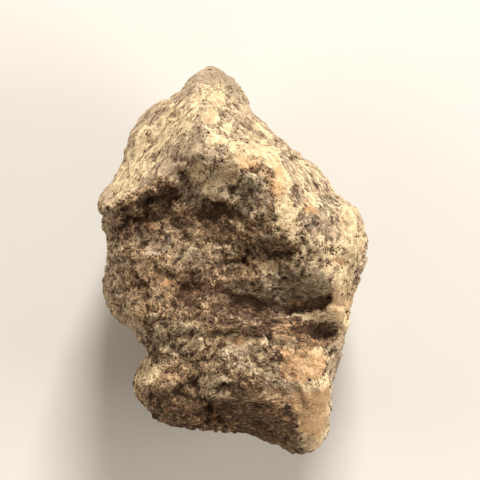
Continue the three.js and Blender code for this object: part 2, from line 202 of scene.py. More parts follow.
PALE_ZONES = [
    # the cream strip, upper end
    (0.9, [(-0.5, 12.2), (2.9, 12.3), (4.7, 11.4), (5.1, 9.8), (4.3, 9.3), (2.9, 10.2), (1.2, 9.5),
           (0.0, 9.1), (-0.7, 10.6)]),
    # the cream strip, down the brow
    (0.8, [(4.1, 9.8), (5.1, 10.3), (5.8, 8.5), (6.0, 6.2), (6.9, 4.7), (6.7, 2.9), (5.5, 2.5),
           (4.5, 3.7), (4.1, 5.7), (4.3, 7.8)]),
    # the right slope
    (-0.35, [(4.3, 14.3), (6.8, 13.6), (9.9, 9.3), (11.5, 6.2), (12.9, 4.7), (10.9, 2.9), (8.6, 3.7),
             (6.8, 5.0), (5.8, 8.5), (5.1, 11.4)]),
    # the right rim
    (0.5, [(11.0, 5.7), (12.1, 5.7), (13.6, 3.2), (13.3, -0.1), (12.1, -0.8), (11.3, 0.3),
           (11.0, 2.9)]),
    # the right rim beside the upper block
    (0.4, [(9.9, -2.5), (11.2, 0.6), (12.6, 0.4), (12.5, -1.8), (12.6, -4.3), (11.9, -6.9),
           (10.7, -7.7), (10.3, -5.9), (10.6, -4.0)]),
    # the rusty corner under the hollow
    (0.1, [(4.6, -8.8), (6.8, -9.2), (9.8, -9.3), (10.3, -10.4), (9.5, -12.6), (6.8, -12.6),
           (4.4, -11.6), (4.7, -10.4)]),
    # the ridge over the hollow
    (0.9, [(5.4, -5.7), (6.8, -5.0), (8.6, -5.1), (10.6, -4.6), (11.2, -5.9), (10.0, -6.4),
           (8.2, -6.4), (7.0, -5.9)]),
    # the upper block's top and the rim beside it
    (0.2, [(5.4, 0.1), (7.4, 2.6), (9.6, 2.2), (12.6, 2.0), (12.8, -0.4), (8.0, -0.6), (5.8, -0.4)]),
    # between the blotches of the right slope
    (0.3, [(5.8, 7.0), (6.6, 6.6), (8.0, 6.6), (8.4, 5.0), (7.4, 4.9), (6.2, 5.2)]),
    # the lower block, right end
    (0.1, [(3.6, -10.6), (5.4, -10.8), (5.2, -12.6), (3.8, -12.4)]),
    # the foot of the grey patch: painted light where the brow curves down into shade
    (-0.2, [(-0.4, 7.4), (1.6, 7.4), (1.8, 5.4), (-0.2, 5.4)]),
    # the brow's right foot
    (0.3, [(4.6, 4.2), (6.6, 3.2), (7.8, 1.8), (7.2, 0.9), (5.6, 1.8), (4.4, 3.0)]),
    # the left rim
    (-0.3, [(-13.5, 2.0), (-11.2, 2.0), (-10.6, -2.6), (-13.2, -3.0)]),
    # the upper block's top edge: a cream patch, strengthened as painted light in the shadow under the
    # wedge
    (0.9, [(2.7, -0.1), (4.2, 0.3), (5.7, 0.2), (5.4, -1.3), (3.3, -1.5)]),
    # left of the grey patch: light tan stone, made paler as painted light where the form is in shade
    (0.8, [(-1.9, 10.0), (0.6, 9.8), (0.9, 8.9), (0.0, 7.7), (-1.9, 7.6)]),
    # the shelf on the left: painted light where its form is in shade
    (-0.1, LEFT_SHELF),
    # the slope over the brow: painted light where its form turns from the lamp
    (0.15, [(-6.0, 10.0), (-1.6, 9.9), (-1.2, 7.8), (-2.1, 6.2), (-5.2, 8.2)]),
    # the lower block: painted light where its form is in shade
    (-0.1, [(-1.0, -9.2), (2.9, -9.2), (3.6, -10.4), (5.8, -10.6), (6.0, -13.0), (3.6, -12.6)]),
    # the front corner
    (0.6, [(6.0, -12.8), (9.7, -12.3), (10.3, -16.4), (9.2, -19.3), (7.4, -19.9), (6.6, -17.4)]),
    # the ledge under the dark band
    (0.9, [(-1.8, -7.8), (0.6, -7.7), (3.6, -8.0), (3.9, -8.8), (2.0, -8.6), (0.4, -8.9),
           (-1.6, -8.5)]),
    # the lower left corner
    (0.45, [(-10.5, -9.4), (-8.6, -9.6), (-7.9, -10.8), (-8.3, -12.6), (-9.5, -13.1), (-10.5, -11.7)]),
    # the slope below the knob
    (-0.25, [(-4.5, 17.0), (-2.9, 18.2), (-0.8, 18.2), (0.2, 15.5), (-0.2, 12.4), (-2.3, 11.4),
             (-3.3, 13.0), (-3.9, 14.9)]),
    # the upper slope, left half
    (0.2, [(-10.6, 12.4), (-6.8, 16.1), (-4.9, 16.5), (-4.0, 13.4), (-7.6, 10.3), (-10.9, 6.6),
           (-12.8, 6.2), (-11.9, 9.3)]),
]
PALE_SPOTS = [
    (-1.8, 16.7, 0.9, 0.6, 0), (-3.9, 16.6, 0.5, 0.4, 0), (-4.1, 15.5, 0.3, 0.8, 0),
    (-2.4, 14.9, 0.9, 0.7, 20), (-0.8, 13.4, 0.4, 0.8, 0), (-1.9, 12.2, 0.9, 0.6, 10),
    (2.5, 13.8, 0.6, 0.5, -30), (1.9, 12.7, 0.5, 0.4, -40), (3.4, 13.0, 0.3, 0.7, 30),
    (-1.3, 7.8, 0.7, 0.4, 0), (-2.8, 8.2, 0.4, 0.4, 0), (-7.6, 14.8, 0.9, 0.4, 50),
    (-9.7, 11.8, 0.9, 0.6, 40), (11.5, 3.2, 0.7, 1.9, 10), (9.7, -0.8, 0.7, 0.4, 0),
    (7.2, 0.7, 0.4, 0.4, 0), (8.4, 0.7, 0.5, 0.4, 0), (10.8, -5.0, 0.7, 1.2, 0),
    (8.2, -5.6, 1.5, 0.3, 5), (-0.1, -0.4, 0.6, 0.3, 0), (3.9, -0.3, 0.7, 0.4, 20),
    (-7.9, -11.5, 0.4, 0.6, 0), (8.8, -9.5, 0.7, 0.5, 0), (1.0, -8.4, 1.8, 0.3, 0),
    (-3.6, -8.9, 0.5, 0.4, 0), (2.1, 8.9, 0.35, 0.25, 0),
]
# The dark finish is partly the stone's darker matrix and partly painted shade, where noted below.
DARK_ZONES = [
    # under the brow, left: mostly painted shade where the brow's shadow falls, with some darker stone
    (0.9, [(-12.4, 4.4), (-9.6, 7.0), (-7.2, 8.4), (-5.8, 7.9), (-5.6, 6.2), (-6.6, 4.5), (-9.1, 4.0),
           (-10.9, 2.9), (-11.9, 1.5), (-12.4, 2.5)]),
    # under the brow, middle: painted shade under the brow, with some darker stone
    (0.2, [(-3.1, 6.0), (-1.9, 6.6), (0.0, 5.8), (-0.4, 2.4), (-3.4, 2.6), (-3.5, 4.8)]),
    # the foot of the upper block
    (-0.1, [(-6.6, -2.4), (-0.2, -2.8), (6.8, -3.4), (10.1, -3.8), (10.1, -5.3), (4.7, -5.7),
            (-0.4, -5.3), (-4.5, -4.7)]),
    # the dark band
    (0.9, [(-6.6, -4.2), (-1.6, -4.0), (3.4, -4.9), (6.8, -5.9), (6.9, -7.6), (4.2, -7.6), (0.2, -6.8),
           (-2.0, -6.4), (-6.4, -6.0)]),
    # the foot of the scoop
    (0.25, [(-6.8, -0.1), (-3.5, 0.5), (1.0, -0.6), (0.8, -2.8), (-3.0, -3.6), (-6.0, -1.6)]),
    # the scoop's lower left
    (-0.2, [(-10.0, 0.2), (-7.4, 0.4), (-7.2, -2.0), (-9.8, -2.0)]),
    # the foot of the lower block
    (0.6, [(-0.6, -11.8), (3.2, -11.4), (3.4, -14.2), (-0.2, -14.4)]),
    # the front edge
    (0.8, [(-6.0, -15.9), (0.8, -15.9), (2.4, -17.8), (-5.6, -17.8)]),
    # the hollow: darker stone, with painted shade in it
    (0.9, [(6.0, -6.9), (8.8, -6.6), (10.9, -6.8), (10.7, -8.2), (9.0, -9.2), (6.6, -8.9)]),
    # the drop over the front
    (0.25, [(-9.1, -13.5), (-4.5, -13.1), (-2.0, -14.1), (2.9, -14.7), (6.2, -15.4), (6.6, -19.1),
            (0.6, -18.0), (-8.6, -17.8)]),
    # the groove under the dark band
    (-0.1, [(-0.9, -6.3), (2.9, -6.5), (3.7, -7.5), (-0.2, -7.7)]),
    # the wedge: painted shade on its slope, which faces away from the lamp
    (0.1, [(0.6, 1.8), (2.2, 2.3), (4.6, 2.6), (6.4, 1.0), (5.0, 0.7), (1.8, 0.7)]),
    # the chip in the front: a painted shadow
    (0.5, [(-4.4, -17.2), (-3.0, -15.4), (-2.0, -14.8), (-1.2, -16.0), (-0.8, -17.6)]),
]
# The spots at (-11.1, 3.0) under the brow's left end, (-2.3, -15.7) and (-2.7, -16.8) in the chip in the
# front, and (9.2, -7.3) in the hollow are painted shade.
DARK_SPOTS = [
    (6.5, 7.3, 0.35, 0.9, 30), (7.5, 7.3, 0.28, 0.8, 15), (4.9, 10.3, 0.4, 0.4, 0),
    (5.9, 10.7, 0.6, 0.35, -30), (7.9, 4.0, 0.5, 1.0, -30), (9.0, 5.7, 0.4, 0.4, 0),
    (10.0, 4.3, 0.3, 0.6, 20), (7.1, 2.5, 0.4, 0.6, 0), (9.3, 1.4, 0.5, 0.4, -20),
    (10.5, 1.1, 0.4, 0.7, 30), (10.0, -2.0, 0.5, 0.5, 0), (11.3, -2.0, 0.3, 0.6, 0),
    (12.2, -2.0, 0.25, 0.4, 0), (8.4, 8.0, 0.3, 0.6, 40), (7.7, 9.0, 0.5, 0.25, -40),
    (9.6, 7.2, 0.4, 0.3, 0), (-11.1, 3.0, 0.9, 1.2, -40), (-1.4, -1.6, 1.2, 0.6, 0),
    (-9.7, -2.4, 1.2, 0.4, 35), (3.8, -8.2, 0.4, 0.9, 0), (4.3, -9.8, 0.5, 0.9, 0),
    (1.2, -13.1, 0.9, 0.7, 20), (-4.2, -12.7, 0.8, 0.3, 20), (-2.8, -8.8, 0.6, 0.8, 0),
    (-8.1, -15.5, 0.7, 0.6, -40), (-0.4, -10.4, 1.0, 0.9, 0), (-2.3, -15.7, 0.7, 0.5, 20),
    (-2.7, -16.8, 1.6, 0.8, 0), (9.6, -4.1, 0.5, 0.35, 0), (9.2, -7.3, 1.2, 0.5, 0),
    (0.9, -6.9, 0.9, 0.3, 0), (10.1, -10.0, 0.15, 1.3, 12), (4.9, 1.2, 0.9, 0.4, 20),
]
RUST_ZONES = [
    # the cream strip, upper end
    (0.4, [(0.2, 11.0), (2.4, 10.4), (2.9, 9.6), (1.4, 9.2), (0.2, 9.6)]),
    # the cream strip, left border
    (0.35, [(3.9, 10.2), (5.0, 9.4), (5.0, 6.6), (4.2, 6.4), (3.8, 8.2)]),
    # the rusty corner under the hollow
    (1.0, [(4.5, -8.8), (9.2, -9.4), (9.8, -11.8), (7.0, -12.8), (4.8, -12.0)]),
    # the front corner
    (0.6, [(6.0, -13.6), (9.4, -13.0), (9.7, -15.6), (8.8, -18.4), (6.6, -17.6)]),
    # the hollow and beside it
    (-0.3, [(3.8, -6.4), (7.0, -6.4), (10.4, -6.6), (10.0, -8.8), (6.6, -9.2), (3.8, -7.6)]),
    # the right rim beside the upper block
    (-0.1, [(9.4, -2.6), (12.4, -2.6), (12.2, -5.8), (10.0, -6.0)]),
    # the drop over the front
    (-0.5, [(-8.0, -14.0), (5.6, -15.0), (6.4, -19.0), (0.5, -17.6), (-7.4, -16.8)]),
    # the scoop's lower left
    (-0.4, [(-8.6, -0.8), (-6.0, -1.2), (-3.0, -2.0), (-3.6, -3.2), (-7.0, -3.2), (-9.4, -2.4)]),
]
RUST_SPOTS = [
    (4.6, 9.4, 0.5, 0.4, 0), (4.6, 7.3, 0.5, 0.6, 0), (7.9, 5.3, 0.6, 0.35, -10),
    (-2.3, 15.1, 0.45, 0.4, 0), (10.9, -0.1, 0.6, 0.4, 0), (6.4, -4.3, 0.7, 0.35, 0),
    (0.5, -8.3, 0.6, 0.35, 0), (-1.0, -8.1, 0.7, 0.3, 0), (2.6, -8.3, 0.5, 0.2, 0),
    (3.1, -0.1, 0.4, 0.3, 0), (-6.9, -2.2, 0.5, 0.35, 0), (-8.6, 3.3, 0.6, 0.4, 0),
]
GREY_ZONES = [
    # the grey patch of the brow
    (0.7, [(0.4, 7.0), (0.9, 8.3), (1.8, 9.0), (2.3, 8.7), (3.0, 8.6), (3.0, 6.8), (1.8, 6.0),
           (0.4, 6.2)]),
    # the upper block
    (0.2, [(-1.0, -2.4), (4.6, -1.2), (6.8, -0.7), (9.3, -0.9), (9.9, -3.6), (6.4, -4.6),
           (0.6, -3.9)]),
    # the dark band
    (-0.5, [(-1.4, -3.2), (6.4, -5.2), (6.6, -6.9), (0.2, -6.8), (-1.4, -6.0)]),
    # the lower block
    (-0.2, [(-2.3, -9.1), (4.6, -8.8), (4.7, -10.6), (2.1, -11.9), (-2.1, -10.8)]),
    # the shelf on the left
    (-0.4, [(-8.6, -6.3), (-5.0, -5.9), (-3.0, -7.5), (-5.6, -9.6), (-8.2, -9.2)]),
    # the middle of the scoop
    (-0.3, [(-6.0, 1.5), (-3.0, 1.6), (-2.0, -0.5), (-4.4, -1.0), (-6.2, 0.1)]),
    # the knob
    (0.0, [(-4.5, 18.4), (-3.0, 19.4), (-2.0, 20.8), (0.6, 19.6), (2.6, 16.6), (1.0, 16.0),
           (-1.0, 18.2)]),
]
GREY_SPOTS = [
    (-7.0, 2.3, 0.4, 1.3, 0), (-4.0, 0.8, 0.6, 0.6, 0), (4.7, -12.8, 1.1, 0.4, 15),
    (5.4, 11.0, 0.6, 0.4, -30), (5.0, 10.2, 0.4, 0.3, 0), (9.4, 5.6, 0.6, 1.1, 20),
    (-7.9, -15.5, 0.5, 0.5, 0), (1.7, 1.0, 0.6, 0.4, 0), (7.9, 4.0, 0.5, 1.0, -30),
]

# The finishes that lie over the stone's own: a name, zones and spots. On the sides that aren't seen
# from above each comes in patches of that size, and leans to all over, 1, or to none, -1.
FINISHES = (
    ("tan", TAN_ZONES, TAN_SPOTS, 7.0, 0.1),
    ("pale", PALE_ZONES, PALE_SPOTS, 5.0, -0.5),
    ("dark", DARK_ZONES, DARK_SPOTS, 4.0, -0.3),
    ("rust", RUST_ZONES, RUST_SPOTS, 3.5, -0.55),
    ("grey", GREY_ZONES, GREY_SPOTS, 3.5, -0.4),
)
PATCH_CONTRAST = 1.3
PATCH_SEED = 200
PATCH_SEED_STEP = 20

# Where the fracture has drawn the grain out: how far the grain is turned there, how it is scaled,
# and outlines. It runs sideways over the band and the front, slants down the right slope and leans
# up the left one.
DRAWN = {
    "sideways": (0.0, (0.55, 1.3, 1.3), [
        [(-1.0, -3.0), (10.0, -2.0), (10.5, -8.0), (0.0, -8.0)],
        [(-1.0, -14.0), (9.5, -14.0), (8.0, -19.0), (0.0, -17.0)],
    ]),
    "slanted": (48.0, (0.5, 1.4, 1.4), [
        [(1.5, 15.0), (3.0, 11.5), (6.0, 9.0), (8.0, 6.0), (11.0, 3.0), (13.0, 5.0), (9.0, 10.5),
         (4.0, 15.0)],
    ]),
    "leaning": (-50.0, (0.7, 1.9, 1.9), [
        [(-13.5, 6.8), (-12.4, 12.0), (-8.0, 16.4), (-3.0, 20.0), (-0.5, 19.0), (-4.0, 14.0),
         (-4.6, 10.2), (-8.0, 9.6)],
    ]),
}
DRAWN_FADE = (-1.5, 0.5)

# Cracks, as a depth and a line seen from above.
CRACKS = [
    # the upper block's top edge
    (0.3, [(-0.5, 0.2), (0.2, -0.1), (1.3, 0.0)]),
    # the same, further right
    (0.3, [(1.9, -0.2), (2.7, -0.4)]),
    # the tip of the wedge
    (0.3, [(4.6, 0.4), (5.6, 0.6), (6.7, 0.9)]),
    # the shelf on the left
    (0.25, [(-8.9, -9.0), (-8.6, -8.4), (-8.3, -7.3), (-8.2, -6.5), (-7.6, -6.1)]),
    # the middle of the scoop
    (0.4, [(-6.4, -0.2), (-5.8, 0.4)]),
    # the right edge of the rusty corner
    (0.4, [(10.5, -9.1), (10.2, -10.3), (9.8, -11.3), (9.5, -12.1)]),
    # the groove under the dark band
    (0.2, [(-0.6, -7.5), (0.9, -7.5), (2.2, -7.7)]),
    # across the ledge under the dark band
    (0.4, [(3.2, -7.4), (3.6, -8.0), (3.7, -9.0)]),
    # the foot of the upper block
    (0.3, [(5.9, -5.2), (5.1, -5.0), (4.1, -5.3)]),
    # the grey patch, left border
    (0.15, [(-0.2, 7.2), (0.4, 7.9), (1.1, 8.8), (1.8, 9.2)]),
    # the grey patch, right border
    (0.15, [(4.1, 9.2), (4.2, 7.8), (4.0, 6.2), (4.3, 5.0)]),
    # over the lower left corner
    (0.4, [(-5.1, -12.9), (-4.3, -12.5), (-3.6, -11.8)]),
]

# Lips: a height and a line. Seen along the line the surface is lifted on its left and sunk on its
# right.
LIPS = [
    # the brow, left
    (0.25, [(-13.4, 5.0), (-11.3, 5.5), (-9.5, 6.4), (-7.8, 7.3), (-6.4, 7.5)]),
    # the brow, middle
    (0.2, [(-6.4, 6.6), (-4.5, 6.6), (-2.9, 6.4), (-1.2, 6.2), (0.2, 5.2)]),
    # the upper block's top edge
    (0.2, [(-0.8, -0.1), (1.0, -0.3), (2.4, -0.4)]),
    # the same, further right
    (0.2, [(6.4, 0.8), (5.4, 0.3), (4.2, 0.1), (2.8, -0.1)]),
    # the foot of the upper block
    (0.2, [(0.2, -3.6), (2.9, -4.0), (5.8, -4.5)]),
    # the ridge over the hollow
    (0.3, [(10.6, -4.7), (8.6, -5.0), (6.8, -5.2)]),
    # the lower edge of the dark band
    (0.15, [(-4.1, -7.2), (-1.9, -7.1), (0.6, -7.3), (2.9, -7.7), (4.3, -8.2)]),
    # the upper edge of the hollow
    (0.15, [(6.2, -6.9), (7.4, -6.3), (8.6, -6.8), (10.1, -6.1), (11.0, -6.7)]),
    # the upper edge of the front
    (0.2, [(-8.6, -13.5), (-6.0, -13.3), (-3.5, -14.1), (-1.2, -14.7), (2.9, -14.7), (6.0, -15.6)]),
    # the scoop's lower left
    (0.2, [(-12.5, -0.1), (-10.7, 0.3), (-8.6, -0.1), (-6.8, -1.0)]),
]

# Pits seen from above: a place, two half widths, a turn in degrees and a depth.
PITS = [
    (9.6, -4.2, 0.5, 0.35, 0, 0.4), (-2.3, -15.5, 0.45, 0.4, 20, 0.3), (4.0, -8.0, 0.4, 0.6, 0, 0.3),
    (1.6, -0.3, 0.8, 0.25, 0, 0.15), (5.8, 0.7, 0.8, 0.25, 15, 0.15), (9.0, -7.4, 1.6, 0.6, 5, 0.3),
    (0.8, -7.0, 0.8, 0.3, 0, 0.15), (5.9, -4.9, 0.7, 0.25, 0, 0.25), (-0.6, -1.6, 0.5, 0.3, 0, 0.2),
    (-8.3, 6.0, 1.5, 0.6, 24, 0.4), (-11.2, 3.8, 1.3, 0.5, 52, 0.35), (-1.5, 5.3, 1.0, 0.6, -25, 0.3),
    (1.4, -6.2, 1.2, 0.4, 0, 0.2), (2.5, -5.2, 0.8, 0.3, 0, 0.2), (-4.4, -12.8, 0.5, 0.25, 20, 0.25),
    (-4.5, 8.9, 1.4, 0.3, 30, 0.2),
]


def smooth_step(low, high, value):
    share = np.clip((value - low) / (high - low), 0.0, 1.0)
    return share * share * (3.0 - 2.0 * share)


def mixed(a, b, share):
    return a + (b - a) * share


def random_from(cells, seed):
    """A repeatable number from 0 to 1 for each row of whole numbers."""
    keys = cells.astype(np.int64).astype(np.uint64)
    value = keys[:, 0] * AXIS_MIXERS[0]
    value ^= keys[:, 1] * AXIS_MIXERS[1]
    value ^= keys[:, 2] * AXIS_MIXERS[2]
    value += np.uint64(seed) * SEED_MIXER
    value ^= value >> np.uint64(31)
    value *= LAST_MIXER
    value ^= value >> np.uint64(29)
    return (value >> np.uint64(40)).astype(float) / 2.0 ** 24


def vector_from(cells, seed):
    return np.stack([random_from(cells, seed + axis) for axis in range(3)], axis=1)


def noise(points, size, seed):
    """Smooth noise with forms of about that size, from about -1 to 1."""
    scaled = points / size
    corner = np.floor(scaled)
    inside = scaled - corner
    fade = inside ** 3 * (inside * (inside * 6.0 - 15.0) + 10.0)
    total = np.zeros(len(points))
    for step in np.ndindex(2, 2, 2):
        offset = np.array(step)
        slope = vector_from(corner + offset, seed) * 2.0 - 1.0
        height = np.sum(slope * (inside - offset), axis=1)
        weight = np.prod(np.where(offset == 1, fade, 1.0 - fade), axis=1)
        total += weight * height
    return total * NOISE_GAIN


def layered_noise(points, size, seed, layers=3, rough=0.5):
    """Noise with finer layers on it. Each is half the size of the last and weaker by rough."""
    total = np.zeros(len(points))
    weight = 1.0
    for layer in range(layers):
        total += weight * noise(points, size / 2 ** layer, seed + 10 * layer)
        weight *= rough
    return total


def push(points, form, axes=3):
    """A push sideways for each point, in a form's size and by up to about its depth."""
    shifts = [noise(points, form.size, form.seed + axis) for axis in range(axes)]
    return form.depth * np.stack(shifts, axis=1)


def cells_of(points, size, seed):
    """For each point the way to it from the nearest of scattered centres, how long that is, the gap
    to the next centre, and the cell that holds the nearest. Lengths are in shares of size."""
    scaled = points / size
    home = np.floor(scaled)
    nearest = np.full(len(points), FAR)
    second = np.full(len(points), FAR)
    way = np.zeros((len(points), 3))
    owner = np.zeros((len(points), 3))
    for step in np.ndindex(3, 3, 3):
        cell = home + np.array(step) - 1
        offset = scaled - (cell + vector_from(cell, seed))
        distance = np.linalg.norm(offset, axis=1)
        closer = distance < nearest
        second = np.where(closer, nearest, np.minimum(second, distance))
        nearest = np.where(closer, distance, nearest)
        way[closer] = offset[closer]
        owner[closer] = cell[closer]
    return way, nearest, second - nearest, owner


def welded_mesh(node):
    """The part's points in millimetres and its triangles, with points that share a place made one."""
    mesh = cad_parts[node].data
    places = np.zeros(len(mesh.vertices) * 3)
    mesh.vertices.foreach_get("co", places)
    places = np.round(places.reshape(-1, 3) / MM, WELD_DIGITS)
    points, merged = np.unique(places, axis=0, return_inverse=True)
    mesh.calc_loop_triangles()
    corners = np.zeros(len(mesh.loop_triangles) * 3, dtype=np.int64)
    mesh.loop_triangles.foreach_get("vertices", corners)
    triangles = merged.reshape(-1)[corners].reshape(-1, 3)
    return points, triangles


def edges_of(triangles, count):
    """The edges as pairs of points, and for each triangle the edge opposite each of its corners."""
    sides = np.concatenate([triangles[:, [1, 2]], triangles[:, [2, 0]], triangles[:, [0, 1]]])
    sides = np.sort(sides, axis=1)
    keys, which = np.unique(sides[:, 0] * count + sides[:, 1], return_inverse=True)
    edges = np.stack([keys // count, keys % count], axis=1)
    return edges, which.reshape(3, -1).T


def subdivided(points, triangles, smoothing):
    """Each triangle in four. With smoothing 1 the surface is rounded by Loop's rule, with 0 not at all."""
    count = len(points)
    edges, opposite = edges_of(triangles, count)
    ends = points[edges]
    middle = ends.mean(axis=1)
    across = np.zeros_like(middle)
    for corner in range(3):
        np.add.at(across, opposite[:, corner], points[triangles[:, corner]])
    rounded_middle = 3 / 8 * ends.sum(axis=1) + 1 / 8 * across
    links = np.bincount(edges.ravel(), minlength=count).astype(float)
    around = np.zeros_like(points)
    np.add.at(around, edges[:, 0], points[edges[:, 1]])
    np.add.at(around, edges[:, 1], points[edges[:, 0]])
    share = (5 / 8 - (3 / 8 + 1 / 4 * np.cos(2.0 * np.pi / links)) ** 2)[:, None]
    rounded = (1.0 - share) * points + share * around / links[:, None]
    new_points = np.concatenate([
        mixed(points, rounded, smoothing),
        mixed(middle, rounded_middle, smoothing),
    ])
    a, b, c = triangles.T
    bc, ca, ab = (opposite + count).T
    new_triangles = np.concatenate([
        np.stack([a, ab, ca], axis=1),
        np.stack([b, bc, ab], axis=1),
        np.stack([c, ca, bc], axis=1),
        np.stack([ab, bc, ca], axis=1),
    ])
    return new_points, new_triangles


def normals_of(points, triangles):
    a, b, c = (points[triangles[:, corner]] for corner in range(3))
    across = np.cross(b - a, c - a)
    total = np.zeros_like(points)
    for corner in range(3):
        np.add.at(total, triangles[:, corner], across)
    return total / np.linalg.norm(total, axis=1)[:, None]


def averaged(values, edges, rounds):
    """Places or directions blurred along the edges, round after round."""
    count = len(values)
    start, end = edges.T
    ends = np.concatenate([start, end])
    others = np.concatenate([end, start])
    links = np.bincount(ends, minlength=count)
    columns = list(values.T)
    for _ in range(rounds):
        columns = [0.5 * c + 0.5 * np.bincount(ends, c[others], count) / links for c in columns]
    return np.stack(columns, axis=1)


def seen_from_above(points):
    """Where the camera sees each point, on the plane of the rim."""
    share = (CAMERA_PLACE[2] - RIM_PLANE) / (CAMERA_PLACE[2] - points[:, 2])
    return CAMERA_PLACE[:2] + (points[:, :2] - CAMERA_PLACE[:2]) * share[:, None]


def strayed(seen, points):
    """Seen places pushed about, so that what is drawn on them gets a ragged border."""
    return seen + push(points, STRAY_WIDE, axes=2) + push(points, STRAY_NARROW, axes=2)


def distance_to_stretch(seen, start, end):
    """How far each place is from a straight stretch between two others."""
    along = end - start
    share = np.clip((seen - start) @ along / max(along @ along, TINY), 0.0, 1.0)
    return np.linalg.norm(seen - start - share[:, None] * along, axis=1)


def depth_in_outline(seen, outline):
    """How far each place lies inside an outline; outside it is negative."""
    corners = np.array(outline)
    nearest = np.full(len(seen), FAR)
    inside = np.zeros(len(seen), dtype=bool)
    for start, end in zip(corners, np.roll(corners, -1, axis=0)):
        nearest = np.minimum(nearest, distance_to_stretch(seen, start, end))
        crosses = (start[1] > seen[:, 1]) != (end[1] > seen[:, 1])
        rise = end[1] - start[1] if end[1] != start[1] else TINY
        inside ^= crosses & (seen[:, 0] < start[0] + (end[0] - start[0]) * (seen[:, 1] - start[1]) / rise)
    return np.where(inside, nearest, -nearest)


def depth_in_spot(seen, x, y, half_x, half_y, turn):
    """The same for a round or oval spot."""
    angle = math.radians(turn)
    away = seen - np.array([x, y])
    u = (away[:, 0] * math.cos(angle) + away[:, 1] * math.sin(angle)) / half_x
    v = (away[:, 1] * math.cos(angle) - away[:, 0] * math.sin(angle)) / half_y
    return (1.0 - np.hypot(u, v)) * min(half_x, half_y)


def finish_seen(seen, zones, spots):
    """How strong one finish is at each seen place, from -1 for none to 1 for all over."""
    strength = np.full(len(seen), -1.0)
    for unbroken, outline in zones:
        cover = smooth_step(-BORDER, BORDER, depth_in_outline(seen, outline))
        strength = np.maximum(strength, -1.0 + (1.0 + unbroken) * cover)
    for spot in spots:
        cover = smooth_step(-BORDER / 2, BORDER / 2, depth_in_spot(seen, *spot))
        strength = np.maximum(strength, -1.0 + (1.0 + SPOT_STRENGTH) * cover)
    return strength


def finish_elsewhere(points, size, seed, lean):
    """The same for the sides that aren't seen from above, in patches of about that size."""
    return np.clip(layered_noise(points, size, seed) * PATCH_CONTRAST + lean, -1.0, 1.0)


def drawn_out(seen, outlines):
    """Where the fracture has drawn the grain out, from 0 to 1."""
    cover = [smooth_step(*DRAWN_FADE, depth_in_outline(seen, outline)) for outline in outlines]
    return np.max(cover, axis=0)


def chips(points, form):
    """The heights of flat broken faces, each with a tilt of its own, and the gap to the next one."""
    way, _, gap, owner = cells_of(points, form.size, form.seed)
    tilt = vector_from(owner, form.seed + TILT_SEED) * 2.0 - 1.0
    lift = random_from(owner, form.seed + LIFT_SEED) - 0.5
    return np.sum(way * tilt, axis=1) * CHIP_TILT + lift, gap


def seam(gap, width, depth):
    """How deep the seam between two chips is."""
    return depth * (1.0 - smooth_step(0.0, width, gap))


def domes(points, form, share):
    """Round grains on that share of the cells, 1 at the top of each."""
    _, distance, _, owner = cells_of(points, form.size, form.seed)
    chosen = random_from(owner, form.seed + PICK_SEED) < share
    radius = mixed(*DOME_RADIUS, random_from(owner, form.seed + RADIUS_SEED))
    return np.where(chosen, np.sqrt(np.clip(1.0 - (distance / radius) ** 2, 0.0, 1.0)), 0.0)


def hollows(seen):
    """How deep the cracks and the pits that are seen from above are."""
    deep = np.zeros(len(seen))
    for depth, path in CRACKS:
        corners = np.array(path)
        near = np.min([distance_to_stretch(seen, a, b) for a, b in zip(corners, corners[1:])], axis=0)
        deep = np.maximum(deep, depth * (1.0 - smooth_step(0.0, CRACK_REACH, near)))
    for *spot, depth in PITS:
        deep = np.maximum(deep, depth * smooth_step(*PIT_WALL, depth_in_spot(seen, *spot)))
    return deep


def lips(seen):
    """How far the lips lift the surface on their left and sink it on their right."""
    lift = np.zeros(len(seen))
    for height, path in LIPS:
        corners = np.array(path)
        nearest = np.full(len(seen), FAR)
        step = np.zeros(len(seen))
        for start, end in zip(corners, corners[1:]):
            away = distance_to_stretch(seen, start, end)
            along = (end - start) / np.linalg.norm(end - start)
            across = along[0] * (seen[:, 1] - start[1]) - along[1] * (seen[:, 0] - start[0])
            step = np.where(away < nearest, np.tanh(across / LIP_EDGE), step)
            nearest = np.minimum(nearest, away)
        lift += height * step * np.exp(-(nearest / LIP_REACH) ** 2)
    return lift


def relief(points):
    """How far the broad and middling forms lift the surface."""
    bent = points + push(points, BEND_WIDE)
    bent += push(points, BEND_NARROW)
    facets, gap = chips(bent, FACETS)
    flakes, flake_gap = chips(bent, FLAKES)
    lift = FACETS.depth * facets + FLAKES.depth * flakes
    lift -= seam(gap, *FACET_SEAM)
    lift -= seam(flake_gap, *FLAKE_SEAM)
    lift -= HOLES.depth * domes(bent, HOLES, HOLE_SHARE)
    return lift


def grain(points):
    """How far the grains and crumbs lift the surface."""
    lift = GRAINS.depth * domes(points, GRAINS, GRAIN_SHARE)
    lift += CRUMBS.depth * layered_noise(points, CRUMBS.size, CRUMBS.seed, layers=2, rough=0.7)
    lift += SWELL.depth * noise(points, SWELL.size, SWELL.seed)
    # Less half a grain, so that the stone keeps its size.
    return lift - 0.5 * GRAINS.depth


def marks_on(points, seen, above):
    """Where the grain is drawn out and how strong each finish is, for the material to read."""
    marks = {}
    for name, (_, _, outlines) in DRAWN.items():
        marks[name] = above * drawn_out(seen, outlines)
    for number, (name, zones, spots, size, lean) in enumerate(FINISHES):
        hidden = finish_elsewhere(points, size, PATCH_SEED + PATCH_SEED_STEP * number, lean)
        marks[name] = mixed(hidden, finish_seen(seen, zones, spots), above)
    return marks


def rounded_solid():
    """The part's own solid in finer triangles with its edges rounded."""
    points, triangles = welded_mesh(NODE)
    for smoothing in ROUNDING:
        points, triangles = subdivided(points, triangles, smoothing)
    edges, _ = edges_of(triangles, len(points))
    return points, triangles, edges


